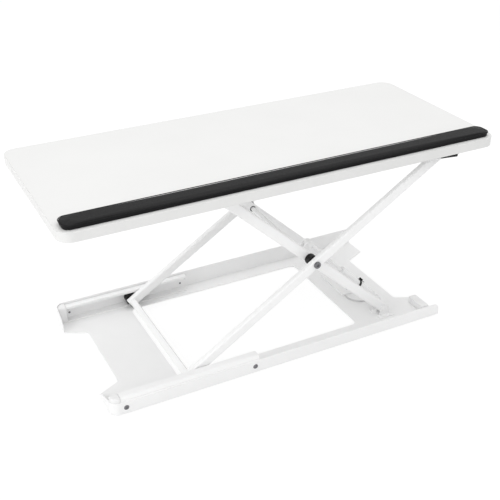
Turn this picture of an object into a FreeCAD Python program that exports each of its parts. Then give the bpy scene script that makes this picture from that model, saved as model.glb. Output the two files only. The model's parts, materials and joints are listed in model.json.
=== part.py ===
import FreeCAD, Part
import math
import os
import Sketcher

# Standing desk converter: a board on two crossed frames over a folded base pan.
# +X runs along the board, +Y to the back, +Z up. The origin is under the middle of the
# board, on the surface that the feet stand on. Millimetres and degrees.

V = FreeCAD.Vector
doc = FreeCAD.newDocument("desk_converter")

# ---------------------------------------------------------------- driving sizes
SIZES = {
    # board, edge band and wrist rest
    "board_length": 936, "board_depth": 400, "board_thickness": 19, "board_corner": 28,
    "band_thickness": 1, "pad_length": 916, "pad_depth": 44, "pad_thickness": 11,
    "pad_front_inset": 8, "pad_corner": 16, "pad_round": 3,
    # lifting linkage: long outer arms and short inner arms cross at their middles
    "low_axis_height": 20, "top_axis_height": 395, "axis_drop": 18,
    "outer_arm_length": 699, "inner_arm_length": 556, "crossing_place": 67,
    "frame_middle": 9, "arm_inset": 41.5, "arm_spacing": 30,
    "tube_height": 22, "tube_width": 13, "tube_wall": 1.5, "tube_corner": 4, "tube_end": 9.5,
    "plug_depth": 4.5, "plug_lip": 1.2, "plug_gap": 0.1, "top_tube_radius": 9,
    "low_tube_side": 14,
    # pins, bushes and rollers
    "pin_radius": 4, "shaft_radius": 5, "bush_radius": 7, "spacer_radius": 12,
    "running_gap": 0.05, "side_gap": 0.3, "head_radius": 6, "head_thickness": 1.5,
    "bolt_head_radius": 7.5, "bolt_head_thickness": 4, "socket_radius": 3.2, "socket_depth": 2.5,
    "bolt_thread_radius": 3, "bolt_thread_length": 12, "bolt_tip_gap": 1, "axle_grip": 10,
    "low_roller_radius": 13.5, "low_roller_width": 17, "top_roller_radius": 12.5,
    "top_roller_width": 11,
    # base pan
    "foot_height": 2, "foot_radius": 9, "foot_inset": 18, "sheet": 2,
    "base_left": -403, "base_right": 387, "base_margin": 30.5, "base_corner": 18,
    "front_flange_height": 28.5, "rear_wall_height": 43, "flange_corner": 14,
    "opening_left": -238, "opening_right": 198, "opening_front_inset": 51,
    "opening_back_inset": 38, "opening_corner": 14, "left_notch_edge": -354,
    "right_notch_edge": 335, "notch_front_inset": 101, "notch_back_inset": 82,
    "notch_slant": 24, "notch_corner": 8, "end_wall_mid_height": 16, "end_wall_mid": 56,
    "end_wall_flat": 20,
    # base guide rails
    "rail_left": -382, "front_rail_length": 304, "rear_rail_length": 294, "rail_depth": 20,
    "front_rail_height": 35.5, "rear_rail_height": 39, "rail_wall": 2, "rail_lip": 4,
    "front_rail_round": 7, "rear_rail_round": 10, "stop_length": 7, "stop_height": 6,
    "screw_radius": 2.5, "screw_head_radius": 4.5, "screw_head": 1.8, "rail_screw_inset": 10,
    "rail_screw_height": 14.5, "rail_screw_head_radius": 5.5,
    "cap_corner": 3, "cap_rim": 1.5,
    # brackets of the arms
    "bracket_length": 40, "bracket_ear_base": 13, "bracket_wall": 2.5, "bracket_flange": 12,
    "ear_radius": 8, "ear_round": 7, "ear_top": 8.5, "bracket_back": 10.5,
    "bracket_back_height": 5,
    "clevis_length": 44, "deck_screw_inset": 8,
    # gas spring
    "spring_spacing": 29.5, "spring_foot_x": 274, "spring_foot_height": 26,
    "lift_reach": 22.2, "lift_lean": 38.4, "lift_plate": 3, "lift_plate_width": 17,
    "lift_plate_round": 8, "lift_pin_radius": 3, "eye_radius": 9, "eye_width": 9,
    "eye_play": 3.9, "cylinder_radius": 9,
    "cylinder_bore": 7.5, "cylinder_start": 24, "cylinder_length": 122, "cylinder_floor": 3,
    "rod_radius": 4, "rod_play": 0.3, "gland_length": 10, "piston_length": 8,
    "piston_gap": 0.3, "piston_inset": 30, "fitting_radius": 9.5, "fitting_neck": 13,
    "foot_ear_half": 9, "foot_ear_round": 8,
    "strap_radius": 11, "strap_width": 5, "strap_place": 76,
    # top rails under the board
    "top_rail_left": -292, "top_rail_length": 196, "top_rail_wall": 2,
    "top_rail_floor_gap": 0.5, "top_rail_back_gap": 0.4, "top_screw_inset": 20,
    # release lever under the front edge
    "lever_left": 334, "lever_length": 40, "lever_front_inset": 3, "lever_slant": 7,
    "lever_thickness": 4, "lever_pin_inset": 22, "lever_pin_drop": 6, "lever_pin_radius": 2,
    "lever_hub_radius": 3.5, "lever_corner": 5, "housing_wall": 4, "housing_depth": 12,
    "return_spring_radius": 3.5, "return_spring_length": 6,
    # deck fittings at the right
    "block_left": 354, "block_front_inset": 19, "block_length": 20, "block_depth": 52,
    "block_height": 15, "block_corner": 4, "plate_left": 231, "plate_from_spring": 71,
    "plate_length": 31, "plate_depth": 102, "plate_thickness": 5, "plate_bolt_inset": 8,
    "plate_bolt_back": 16, "cable_radius": 1.5,
}

# Route of the short release cable over the deck, from the anchor plate's front face to the
# gas spring's foot: x and y of its corners, from the foot's pin. It lies on the deck.
CABLE_ROUTE = [(-38, 71), (-38, 49), (-22, 32), (-3, 25), (2.5, 8)]

sheet = doc.addObject("Spreadsheet::Sheet", "Sizes")
for row, (alias, number) in enumerate(SIZES.items(), start=1):
    sheet.set("A%d" % row, str(number))
    sheet.setAlias("A%d" % row, alias)
doc.recompute()


class Size:
    """A length or angle that keeps its expression beside its value."""

    def __init__(self, text, value):
        self.text = text
        self.value = value

    def __add__(self, other):
        other = size(other)
        return Size("(%s + %s)" % (self.text, other.text), self.value + other.value)

    def __sub__(self, other):
        other = size(other)
        return Size("(%s - %s)" % (self.text, other.text), self.value - other.value)

    def __mul__(self, other):
        other = size(other)
        return Size("(%s * %s)" % (self.text, other.text), self.value * other.value)

    def __truediv__(self, other):
        other = size(other)
        return Size("(%s / %s)" % (self.text, other.text), self.value / other.value)

    def __neg__(self):
        return Size("(-1 * %s)" % self.text, -self.value)


def size(given):
    """A number or a Size, as a Size."""
    if isinstance(given, Size):
        return given
    return Size(repr(float(given)), float(given))


class Sheet:
    """Reads an alias of the sheet as an attribute."""

    def __getattr__(self, alias):
        return Size("Sizes." + alias, float(sheet.get(alias)))


S = Sheet()


def cosine(angle):
    return Size("cos(%s)" % angle.text, math.cos(math.radians(angle.value)))


def sine(angle):
    return Size("sin(%s)" % angle.text, math.sin(math.radians(angle.value)))


def arcsine(ratio):
    return Size("asin(%s)" % ratio.text, math.degrees(math.asin(ratio.value)))


def arctangent(rise, run):
    return Size("atan2(%s; %s)" % (rise.text, run.text),
                math.degrees(math.atan2(rise.value, run.value)))


# ---------------------------------------------------------------- modelling helpers
NODES = {}
FLIP = {"XY_Plane": 1, "XZ_Plane": -1, "YZ_Plane": 1}      # which way each plane faces
AXES = {"XY_Plane": (0, 1, 2), "XZ_Plane": (0, 2, 1), "YZ_Plane": (1, 2, 0)}


def body(label, node=True):
    """A new body; a node is written to its own file."""
    made = doc.addObject("PartDesign::Body", label)
    made.Label = label
    if node:
        NODES[label] = made
    return made


def place(made, x=0, y=0, z=0, turn=None):
    """Put a body at x, y, z, turned about +Y."""
    made.Placement = FreeCAD.Placement(V(0, 0, 0), FreeCAD.Rotation(V(0, 1, 0), 0))
    for axis, given in zip("xyz", (x, y, z)):
        made.setExpression("Placement.Base." + axis, size(given).text)
    if turn is not None:
        made.setExpression("Placement.Rotation.Angle", turn.text)
    return made


def sketch(made, plane, level):
    """A sketch on one of the body's own planes, at a level along +X, +Y or +Z."""
    drawn = made.newObject("Sketcher::SketchObject", made.Name + "_sketch")
    planes = {origin.Role: origin for origin in made.Origin.OriginFeatures}
    drawn.AttachmentSupport = [(planes[plane], "")]
    drawn.MapMode = "FlatFace"
    level = size(level)
    drawn.setExpression("AttachmentOffset.Base.z", (level * FLIP[plane]).text)
    return drawn


def pin_point(drawn, geometry, point, u, v):
    """Tie a point of a sketch to u and v from the sketch's origin."""
    for kind, given in (("DistanceX", size(u)), ("DistanceY", size(v))):
        index = drawn.addConstraint(
            Sketcher.Constraint(kind, -1, 1, geometry, point, given.value))
        drawn.setExpression("Constraints[%d]" % index, given.text)


def draw_loop(drawn, points):
    """A closed outline of straight lines through the points."""
    points = [(size(u), size(v)) for u, v in points]
    first = drawn.GeometryCount
    count = len(points)
    for i, (u, v) in enumerate(points):
        after = points[(i + 1) % count]
        drawn.addGeometry(Part.LineSegment(V(u.value, v.value, 0),
                                           V(after[0].value, after[1].value, 0)))
    for i in range(count):
        drawn.addConstraint(Sketcher.Constraint(
            "Coincident", first + i, 2, first + (i + 1) % count, 1))
    for i, (u, v) in enumerate(points):
        pin_point(drawn, first + i, 1, u, v)


def draw_circle(drawn, u, v, radius):
    index = drawn.addGeometry(Part.Circle(V(size(u).value, size(v).value, 0),
                                          V(0, 0, 1), radius.value))
    tied = drawn.addConstraint(Sketcher.Constraint("Radius", index, radius.value))
    drawn.setExpression("Constraints[%d]" % tied, radius.text)
    pin_point(drawn, index, 3, u, v)


def pad(made, plane, start, length, loops=(), circles=()):
    """Add a prism from start, length long towards +X, +Y or +Z."""
    level = size(start) if FLIP[plane] > 0 else size(start) + length
    drawn = sketch(made, plane, level)
    for points in loops:
        draw_loop(drawn, points)
    for circle in circles:
        draw_circle(drawn, *circle)
    feature = made.newObject("PartDesign::Pad", made.Name + "_pad")
    feature.Profile = drawn
    feature.setExpression("Length", size(length).text)
    doc.recompute()
    return feature


def cut(made, plane, loops=(), circles=(), start=None, length=None):
    """Cut right through, or from start, length long towards +X, +Y or +Z."""
    level = 0
    if start is not None:
        level = size(start) + length if FLIP[plane] > 0 else size(start)
    drawn = sketch(made, plane, level)
    for points in loops:
        draw_loop(drawn, points)
    for circle in circles:
        draw_circle(drawn, *circle)
    before = made.Tip.Shape.Volume
    feature = made.newObject("PartDesign::Pocket", made.Name + "_cut")
    feature.Profile = drawn
    if start is None:
        feature.Type = "ThroughAll"
        feature.SideType = "Symmetric"
    else:
        feature.setExpression("Length", size(length).text)
    doc.recompute()
    if not feature.Shape.Volume < before:
        raise RuntimeError(made.Label + ": a cut took nothing away")
    return feature


# Two coordinates this close, in millimetres, are the same.
TOUCH = 1e-4


def corner_edges(made, plane, corners):
    """Names of the straight edges that stand on the plane at the corners."""
    a, b, along = AXES[plane]
    names = []
    for number, edge in enumerate(made.Tip.Shape.Edges, start=1):
        ends = [vertex.Point for vertex in edge.Vertexes]
        if len(ends) != 2 or edge.Curve.TypeId != "Part::GeomLine":
            continue
        step = ends[1] - ends[0]
        if abs(step[along]) < 0.999 * step.Length:
            continue
        for u, v in corners:
            if (abs(ends[0][a] - size(u).value) < TOUCH
                    and abs(ends[0][b] - size(v).value) < TOUCH):
                names.append("Edge%d" % number)
    return names


def rim_edges(made, level):
    """Names of the edges that lie flat at a height."""
    return ["Edge%d" % number for number, edge in enumerate(made.Tip.Shape.Edges, start=1)
            if all(abs(vertex.Z - level.value) < TOUCH for vertex in edge.Vertexes)]


def round_corners(made, plane, corners, radius):
    """Fillet the edges that stand on the plane at the corners."""
    round_edges(made, corner_edges(made, plane, corners), radius)


def round_rim(made, level, radius):
    """Fillet the edges of a flat top."""
    round_edges(made, rim_edges(made, level), radius)


def round_edges(made, names, radius):
    if not names:
        raise RuntimeError(made.Label + ": no edge to round")
    before = made.Tip
    feature = made.newObject("PartDesign::Fillet", made.Name + "_round")
    feature.Base = (before, names)
    feature.setExpression("Radius", radius.text)
    made.Tip = feature
    doc.recompute()


def rectangle(u_low, v_low, u_high, v_high):
    return [(u_low, v_low), (u_high, v_low), (u_high, v_high), (u_low, v_high)]


def centred(half_u, half_v):
    return rectangle(-half_u, -half_v, half_u, half_v)


def turned(label, plane, axis, profile, node=True):
    """A solid turned about the sketch's H_Axis or V_Axis."""
    made = body(label, node)
    drawn = sketch(made, plane, 0)
    draw_loop(drawn, profile)
    feature = made.newObject("PartDesign::Revolution", made.Name + "_turn")
    feature.Profile = drawn
    feature.ReferenceAxis = (drawn, [axis])
    feature.Angle = 360
    doc.recompute()
    return made


def ring_profile(inner, outer, low, high):
    """Outline of a plain ring or disc for turning about the V axis."""
    return [(inner, low), (outer, low), (outer, high), (inner, high)]


def group(label, members):
    """Identical pieces kept as separate solids of one node."""
    made = doc.addObject("Part::Compound", label)
    made.Label = label
    made.Links = members
    NODES[label] = made
    return made


SIDES = (("near", -1), ("rear", 1))

# ---------------------------------------------------------------- places worked out
rise = S.top_axis_height - S.low_axis_height
crossing_x = S.crossing_place
crossing_z = (S.low_axis_height + S.top_axis_height) / 2
outer_slope = arcsine(rise / S.outer_arm_length)
inner_slope = arcsine(rise / S.inner_arm_length)
outer_half = S.outer_arm_length / 2
inner_half = S.inner_arm_length / 2
low_roller_x = crossing_x - outer_half * cosine(outer_slope)
clevis_x = crossing_x + outer_half * cosine(outer_slope)
pivot_x = crossing_x + inner_half * cosine(inner_slope)
top_roller_x = crossing_x - inner_half * cosine(inner_slope)
board_under = S.top_axis_height + S.axis_drop
board_top = board_under + S.board_thickness
pan_under = S.foot_height
deck_top = S.foot_height + S.sheet
half_tube = S.tube_width / 2
outer_arm_offset = S.board_depth / 2 - S.arm_inset
inner_arm_offset = outer_arm_offset - S.arm_spacing
base_front = S.frame_middle - outer_arm_offset - S.base_margin
base_back = S.frame_middle + outer_arm_offset + S.base_margin
notch_front = base_front + S.notch_front_inset
notch_back = base_back - S.notch_back_inset


def inner_y(side):
    return S.frame_middle + inner_arm_offset * side


def outer_y(side):
    return S.frame_middle + outer_arm_offset * side


def span(side, near, far):
    """Low end and length of a stretch that runs from near to far, away from the middle."""
    low = near if side > 0 else -far
    return low, far - near


# ---------------------------------------------------------------- platform
def make_board():
    made = body("platform_board")
    half_x = S.board_length / 2 - S.band_thickness
    half_y = S.board_depth / 2 - S.band_thickness
    outline = centred(half_x, half_y)
    pad(made, "XY_Plane", board_under, S.board_thickness, [outline])
    round_corners(made, "XY_Plane", outline, S.board_corner - S.band_thickness)


def make_edge_band():
    made = body("edge_band")
    outline = centred(S.board_length / 2, S.board_depth / 2)
    inside = centred(S.board_length / 2 - S.band_thickness, S.board_depth / 2 - S.band_thickness)
    pad(made, "XY_Plane", board_under, S.board_thickness, [outline])
    cut(made, "XY_Plane", [inside])
    round_corners(made, "XY_Plane", inside, S.board_corner - S.band_thickness)
    round_corners(made, "XY_Plane", outline, S.board_corner)


def make_wrist_rest():
    made = body("wrist_rest")
    front = -(S.board_depth / 2) + S.pad_front_inset
    outline = rectangle(-(S.pad_length / 2), front, S.pad_length / 2, front + S.pad_depth)
    pad(made, "XY_Plane", board_top, S.pad_thickness, [outline])
    round_corners(made, "XY_Plane", outline, S.pad_corner)
    round_rim(made, board_top + S.pad_thickness, S.pad_round)


def top_rail_faces(side):
    """Distances from the frame's middle of a top rail's open side and back."""
    open_side = inner_arm_offset + half_tube + S.side_gap * 2
    back = (inner_arm_offset + half_tube + S.side_gap + S.top_roller_width + S.side_gap
            + S.head_thickness + S.top_rail_back_gap)
    return open_side, back


def channel_profile(side, open_side, back, low, high, wall, lip, middle):
    """A C profile in Y and Z whose back is away from the frame's middle."""
    def y(distance):
        return middle + distance * side
    profile = [(y(back + wall), low), (y(open_side), low), (y(open_side), low + wall),
               (y(back), low + wall), (y(back), high - wall)]
    if lip is not None:
        profile += [(y(open_side + wall), high - wall), (y(open_side + wall), high - wall - lip),
                    (y(open_side), high - wall - lip)]
    else:
        profile += [(y(open_side), high - wall)]
    return profile + [(y(open_side), high), (y(back + wall), high)]


def make_top_rails():
    low = S.top_axis_height - S.top_roller_radius - S.top_rail_floor_gap - S.top_rail_wall
    for name, side in SIDES:
        made = body(name + "_top_rail")
        open_side, back = top_rail_faces(side)
        profile = channel_profile(side, open_side, back, low, board_under, S.top_rail_wall,
                                  None, S.frame_middle)
        pad(made, "YZ_Plane", S.top_rail_left, S.top_rail_length, [profile])
        middle_y = S.frame_middle + (open_side + back) / 2 * side
        cut(made, "XY_Plane", [], [(x, middle_y, S.screw_radius + S.running_gap)
                                   for x in top_rail_screw_places()],
            start=board_under - S.top_rail_wall, length=S.top_rail_wall)


def top_rail_screw_places():
    return (S.top_rail_left + S.top_screw_inset,
            S.top_rail_left + S.top_rail_length - S.top_screw_inset)


def upright_screw(label, x, y, under, grip):
    """A screw whose head hangs below and whose shank goes up into the board."""
    profile = [(0, -S.screw_head), (S.screw_head_radius, -S.screw_head),
               (S.screw_head_radius, 0), (S.screw_radius, 0), (S.screw_radius, grip), (0, grip)]
    made = turned(label, "XZ_Plane", "V_Axis", profile, node=False)
    return place(made, x, y, under)


def make_top_rail_screws():
    made = []
    for name, side in SIDES:
        open_side, back = top_rail_faces(side)
        for number, x in enumerate(top_rail_screw_places()):
            made.append(upright_screw("%s_rail_screw_%d" % (name, number), x,
                                      S.frame_middle + (open_side + back) / 2 * side,
                                      board_under - S.top_rail_wall, S.top_rail_wall))
    group("top_rail_screws", made)


def clevis_half():
    """From the arm's middle to the outside of a clevis ear."""
    return half_tube + S.side_gap + S.bracket_wall


def make_clevises():
    clevises = []
    for name, side in SIDES:
        made = body(name + "_clevis", node=False)
        middle = outer_y(side)
        half = S.clevis_length / 2
        wide = clevis_half() + S.bracket_flange
        web = board_under - S.bracket_wall
        pad(made, "XY_Plane", web, S.bracket_wall,
            [rectangle(clevis_x - half, middle - wide, clevis_x + half, middle + wide)])
        ear = [(clevis_x - half, web), (clevis_x - S.ear_radius, S.top_axis_height - S.ear_top),
               (clevis_x + S.ear_radius, S.top_axis_height - S.ear_top), (clevis_x + half, web)]
        for start in (middle - clevis_half(), middle + half_tube + S.side_gap):
            pad(made, "XZ_Plane", start, S.bracket_wall, [ear])
        round_corners(made, "XZ_Plane", ear[1:3], S.ear_round)
        cut(made, "XZ_Plane", [], [(clevis_x, S.top_axis_height, S.pin_radius + S.running_gap)])
        cut(made, "XY_Plane", [], [(x, y, S.screw_radius + S.running_gap)
                                   for x, y in clevis_screw_places(side)],
            start=web, length=S.bracket_wall)
        clevises.append(made)
    group("arm_clevises", clevises)


def clevis_screw_places(side):
    reach = clevis_half() + S.bracket_flange / 2
    inset = S.clevis_length / 2 - S.deck_screw_inset
    return [(clevis_x + inset * along, outer_y(side) + reach * across)
            for along in (-1, 1) for across in (-1, 1)]


def make_clevis_screws():
    made = []
    for name, side in SIDES:
        for number, (x, y) in enumerate(clevis_screw_places(side)):
            made.append(upright_screw("%s_clevis_screw_%d" % (name, number), x, y,
                                      board_under - S.bracket_wall, S.bracket_wall))
    group("clevis_screws", made)


def headed_pin(label, x, y, z, half, radius, node):
    """A pin along Y with a head at each end, half long from its middle to under a head."""
    tip = half + S.head_thickness
    profile = [(0, -tip), (S.head_radius, -tip), (S.head_radius, -half), (radius, -half),
               (radius, half), (S.head_radius, half), (S.head_radius, tip), (0, tip)]
    return place(turned(label, "XY_Plane", "V_Axis", profile, node), x, y, z)


def make_clevis_pins():
    group("clevis_pins", [headed_pin(name + "_clevis_pin", clevis_x, outer_y(side),
                                     S.top_axis_height, clevis_half(), S.pin_radius, False)
                          for name, side in SIDES])


# ---------------------------------------------------------------- frames
def arm(label, half, y, turn, middle_radius):
    """A tube along its own X through the crossing, bored at its middle and both axes."""
    made = body(label)
    outline = centred(half_tube, S.tube_height / 2)
    reach = half + S.tube_end
    pad(made, "YZ_Plane", -reach, reach * 2, [outline])
    round_corners(made, "YZ_Plane", outline, S.tube_corner)
    cut(made, "YZ_Plane", [centred(half_tube - S.tube_wall, S.tube_height / 2 - S.tube_wall)])
    end_bore = S.pin_radius + S.running_gap
    cut(made, "XZ_Plane", [], [(-half, 0, end_bore), (0, 0, middle_radius), (half, 0, end_bore)])
    return place(made, crossing_x, y, crossing_z, turn)


def end_plug(label, half, y, turn, end):
    """A plug for one end of an arm, with a lip that covers the tube's end."""
    made = body(label, node=False)
    reach = half + S.tube_end
    outline = centred(half_tube, S.tube_height / 2)
    inside = centred(half_tube - S.tube_wall - S.plug_gap,
                     S.tube_height / 2 - S.tube_wall - S.plug_gap)
    if end > 0:
        pad(made, "YZ_Plane", reach, S.plug_lip, [outline])
    else:
        pad(made, "YZ_Plane", -(reach + S.plug_lip), S.plug_lip, [outline])
    round_corners(made, "YZ_Plane", outline, S.tube_corner)
    start = reach - S.plug_depth if end > 0 else -reach
    pad(made, "YZ_Plane", start, S.plug_depth, [inside])
    return place(made, crossing_x, y, crossing_z, turn)


def make_frames():
    for name, side in SIDES:
        arm(name + "_outer_arm", outer_half, outer_y(side), -outer_slope,
            S.shaft_radius + S.running_gap)
        arm(name + "_inner_arm", inner_half, inner_y(side), inner_slope,
            S.bush_radius + S.running_gap)
    group("outer_arm_plugs", [
        end_plug("%s_outer_plug_%d" % (name, end + 1), outer_half, outer_y(side),
                 -outer_slope, end) for name, side in SIDES for end in (-1, 1)])
    group("inner_arm_plugs", [
        end_plug("%s_inner_plug_%d" % (name, end + 1), inner_half, inner_y(side),
                 inner_slope, end) for name, side in SIDES for end in (-1, 1)])


def make_cross_tubes():
    low = body("lower_cross_tube")
    outline = centred(S.low_tube_side / 2, S.low_tube_side / 2)
    inside = centred(S.low_tube_side / 2 - S.tube_wall, S.low_tube_side / 2 - S.tube_wall)
    half = outer_arm_offset - half_tube
    pad(low, "XZ_Plane", -half, half * 2, [outline])
    round_corners(low, "XZ_Plane", outline, S.tube_wall)
    cut(low, "XZ_Plane", [inside])
    place(low, low_roller_x, S.frame_middle, S.low_axis_height, -outer_slope)
    half = inner_arm_offset - half_tube
    profile = ring_profile(S.top_tube_radius - S.tube_wall, S.top_tube_radius, -half, half)
    place(turned("upper_cross_tube", "XY_Plane", "V_Axis", profile),
          top_roller_x, S.frame_middle, S.top_axis_height)


def make_crossing():
    end = outer_arm_offset + half_tube
    hole = end - S.bolt_thread_length
    radius = S.shaft_radius
    bore = S.bolt_thread_radius + S.running_gap
    profile = [(0, -hole), (bore, -hole), (bore, -end), (radius, -end), (radius, end),
               (bore, end), (bore, hole), (0, hole)]
    place(turned("crossing_shaft", "XY_Plane", "V_Axis", profile),
          crossing_x, S.frame_middle, crossing_z)
    bolts, spacers = [], []
    for name, side in SIDES:
        shank = S.bolt_thread_length - S.bolt_tip_gap
        head = S.bolt_head_thickness
        floor = head - S.socket_depth
        across = [(0, -shank), (S.bolt_thread_radius, -shank), (S.bolt_thread_radius, 0),
                  (S.bolt_head_radius, 0), (S.bolt_head_radius, head), (S.socket_radius, head),
                  (S.socket_radius, floor), (0, floor)]
        bolts.append(place(turned(name + "_crossing_bolt", "XY_Plane", "V_Axis",
                                  [(u, size(v) * side) for u, v in across], node=False),
                           crossing_x, outer_y(side) + half_tube * side, crossing_z))
        low, length = span(side, inner_arm_offset + half_tube + S.side_gap,
                           outer_arm_offset - half_tube)
        spacers.append(place(turned(name + "_spacer", "XY_Plane", "V_Axis",
                                    ring_profile(radius + S.running_gap, S.spacer_radius,
                                                 low, low + length), node=False),
                             crossing_x, S.frame_middle, crossing_z))
    group("crossing_bolts", bolts)
    group("crossing_spacers", spacers)
    group("crossing_bushes", [
        place(turned(name + "_bush", "XY_Plane", "V_Axis",
                     ring_profile(radius + S.running_gap, S.bush_radius, -half_tube, half_tube),
                     node=False), crossing_x, inner_y(side), crossing_z)
        for name, side in SIDES])


def make_rollers():
    for height, x, z, offset, radius, width, tube_inner in (
            ("lower", low_roller_x, S.low_axis_height, outer_arm_offset,
             S.low_roller_radius, S.low_roller_width, outer_arm_offset - half_tube),
            ("upper", top_roller_x, S.top_axis_height, inner_arm_offset,
             S.top_roller_radius, S.top_roller_width, inner_arm_offset - half_tube)):
        axles = []
        for name, side in SIDES:
            inside = offset + half_tube + S.side_gap
            low, length = span(side, inside, inside + width)
            place(turned("%s_%s_roller" % (height, name), "XY_Plane", "V_Axis",
                         ring_profile(S.pin_radius + S.running_gap, radius, low, low + length)),
                  x, S.frame_middle, z)
            end = inside + width + S.side_gap
            tip = end + S.head_thickness
            root = tube_inner - S.axle_grip
            profile = [(0, root), (S.pin_radius, root), (S.pin_radius, end),
                       (S.head_radius, end), (S.head_radius, tip), (0, tip)]
            axles.append(place(turned("%s_%s_axle" % (height, name), "XY_Plane", "V_Axis",
                                      [(u, size(v) * side) for u, v in profile], node=False),
                               x, S.frame_middle, z))
        group(height + "_roller_axles", axles)


# ---------------------------------------------------------------- base
def make_base_pan():
    made = body("base_pan")
    left, right, front, back = S.base_left, S.base_right, base_front, base_back
    slant = S.notch_slant
    deck = [(left, front), (right, front), (right, notch_front - slant),
            (S.right_notch_edge, notch_front), (S.right_notch_edge, notch_back),
            (right, notch_back + slant), (right, back), (left, back),
            (left, notch_back + slant), (S.left_notch_edge, notch_back),
            (S.left_notch_edge, notch_front), (left, notch_front - slant)]
    pad(made, "XY_Plane", pan_under, S.sheet, [deck])
    round_corners(made, "XY_Plane", deck[3:5] + deck[9:11], S.notch_corner)
    opening = rectangle(S.opening_left, front + S.opening_front_inset,
                        S.opening_right, back - S.opening_back_inset)
    cut(made, "XY_Plane", [opening])
    round_corners(made, "XY_Plane", opening, S.opening_corner)
    flange_top = pan_under + S.front_flange_height
    wall_top = pan_under + S.rear_wall_height
    pad(made, "XZ_Plane", front, S.sheet, [rectangle(left, pan_under, right, flange_top)])
    round_corners(made, "XZ_Plane", [(right, flange_top)], S.flange_corner)
    pad(made, "XZ_Plane", back - S.sheet, S.sheet, [rectangle(left, pan_under, right, wall_top)])
    round_corners(made, "XZ_Plane", [(right, wall_top)], S.flange_corner)
    middle = deck_top + S.end_wall_mid_height
    front_end = [(front, pan_under), (front, flange_top), (front + S.end_wall_flat, flange_top),
                 (front + S.end_wall_mid, middle), (notch_front - slant, deck_top),
                 (notch_front - slant, pan_under)]
    back_end = [(back, pan_under), (back, wall_top), (back - S.end_wall_flat, wall_top),
                (back - S.end_wall_mid, middle), (notch_back + slant, deck_top),
                (notch_back + slant, pan_under)]
    pad(made, "YZ_Plane", left, S.sheet, [front_end])
    pad(made, "YZ_Plane", left, S.sheet, [back_end])
    round_corners(made, "XY_Plane", [(left, front), (left, back)], S.base_corner)
    round_corners(made, "XY_Plane", [(left + S.sheet, front + S.sheet),
                                     (left + S.sheet, back - S.sheet)],
                  S.base_corner - S.sheet)
    for name, side in SIDES:
        cut(made, "XZ_Plane", [], [(x, rail_screw_z(), S.screw_radius + S.running_gap)
                                   for x in rail_screw_places(side)],
            start=front if side < 0 else back - S.sheet, length=S.sheet)


def rail_screw_z():
    return pan_under + S.rail_screw_height


def rail_length(side):
    return S.front_rail_length if side < 0 else S.rear_rail_length


def rail_top(side):
    return deck_top + (S.front_rail_height if side < 0 else S.rear_rail_height)


def rail_round(side):
    return S.front_rail_round if side < 0 else S.rear_rail_round


def rail_screw_places(side):
    return (S.rail_left + S.rail_screw_inset,
            S.rail_left + rail_length(side) - S.rail_screw_inset)


def rail_wall_y(side):
    """Where a base rail's back touches the pan's flange or wall."""
    return base_front + S.sheet if side < 0 else base_back - S.sheet


def make_base_rails():
    for name, side in SIDES:
        made = body("front_rail" if side < 0 else "rear_rail")
        wall = rail_wall_y(side)
        top = rail_top(side)
        profile = channel_profile(side, -S.rail_depth, -S.rail_wall, deck_top, top,
                                  S.rail_wall, None if side < 0 else S.rail_lip, wall)
        pad(made, "YZ_Plane", S.rail_left, rail_length(side), [profile])
        round_corners(made, "YZ_Plane", [(wall, top)], rail_round(side))
        round_corners(made, "YZ_Plane", [(wall - S.rail_wall * side, top - S.rail_wall)],
                      rail_round(side) - S.rail_wall)
        cut(made, "XZ_Plane", [], [(x, rail_screw_z(), S.screw_radius + S.running_gap)
                                   for x in rail_screw_places(side)])


def make_rail_fittings():
    screws = []
    for name, side in SIDES:
        stops = []
        top = rail_top(side) - S.rail_wall
        stop_height = top - deck_top - S.rail_wall if side < 0 else S.stop_height
        wall = rail_wall_y(side)
        inner = wall - rail_round(side) * side
        lip = wall - (S.rail_depth - S.rail_wall) * side
        low_y, high_y = (inner, lip) if side < 0 else (lip, inner)
        for number, x in enumerate((S.rail_left,
                                    S.rail_left + rail_length(side) - S.stop_length)):
            stop = body("%s_stop_%d" % (name, number), node=False)
            pad(stop, "XY_Plane", top - stop_height, stop_height,
                [rectangle(x, low_y, x + S.stop_length, high_y)])
            stops.append(stop)
        group("front_rail_stops" if side < 0 else "rear_rail_stops", stops)
        outside = base_front if side < 0 else base_back
        grip = S.sheet + S.rail_wall
        profile = [(0, -grip), (S.screw_radius, -grip), (S.screw_radius, 0),
                   (S.rail_screw_head_radius, 0), (S.rail_screw_head_radius, S.screw_head / 2),
                   (S.screw_radius, S.screw_head), (0, S.screw_head)]
        for number, x in enumerate(rail_screw_places(side)):
            screws.append(place(turned("%s_base_screw_%d" % (name, number), "XY_Plane", "V_Axis",
                                       [(u, size(v) * side) for u, v in profile], node=False),
                                x, outside, rail_screw_z()))
    group("rail_screws", screws)


def make_end_caps():
    """Moulded blocks that close the pan's left corners beside the rails' ends."""
    left = S.base_left + S.sheet + S.side_gap
    right = S.rail_left - S.side_gap
    caps = []
    for name, side in SIDES:
        cap = body(name + "_end_cap", node=False)
        outer = rail_wall_y(side) - S.side_gap * side
        inner = rail_wall_y(side) - S.rail_depth * side
        low_y, high_y = (outer, inner) if side < 0 else (inner, outer)
        top = rail_top(side)
        pad(cap, "XY_Plane", deck_top, top - deck_top, [rectangle(left, low_y, right, high_y)])
        round_corners(cap, "XY_Plane", [(left, outer)], S.base_corner - S.sheet - S.side_gap)
        round_corners(cap, "XY_Plane", [(left, inner)], S.cap_corner)
        round_rim(cap, top, S.cap_rim)
        caps.append(cap)
    group("left_end_caps", caps)


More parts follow.
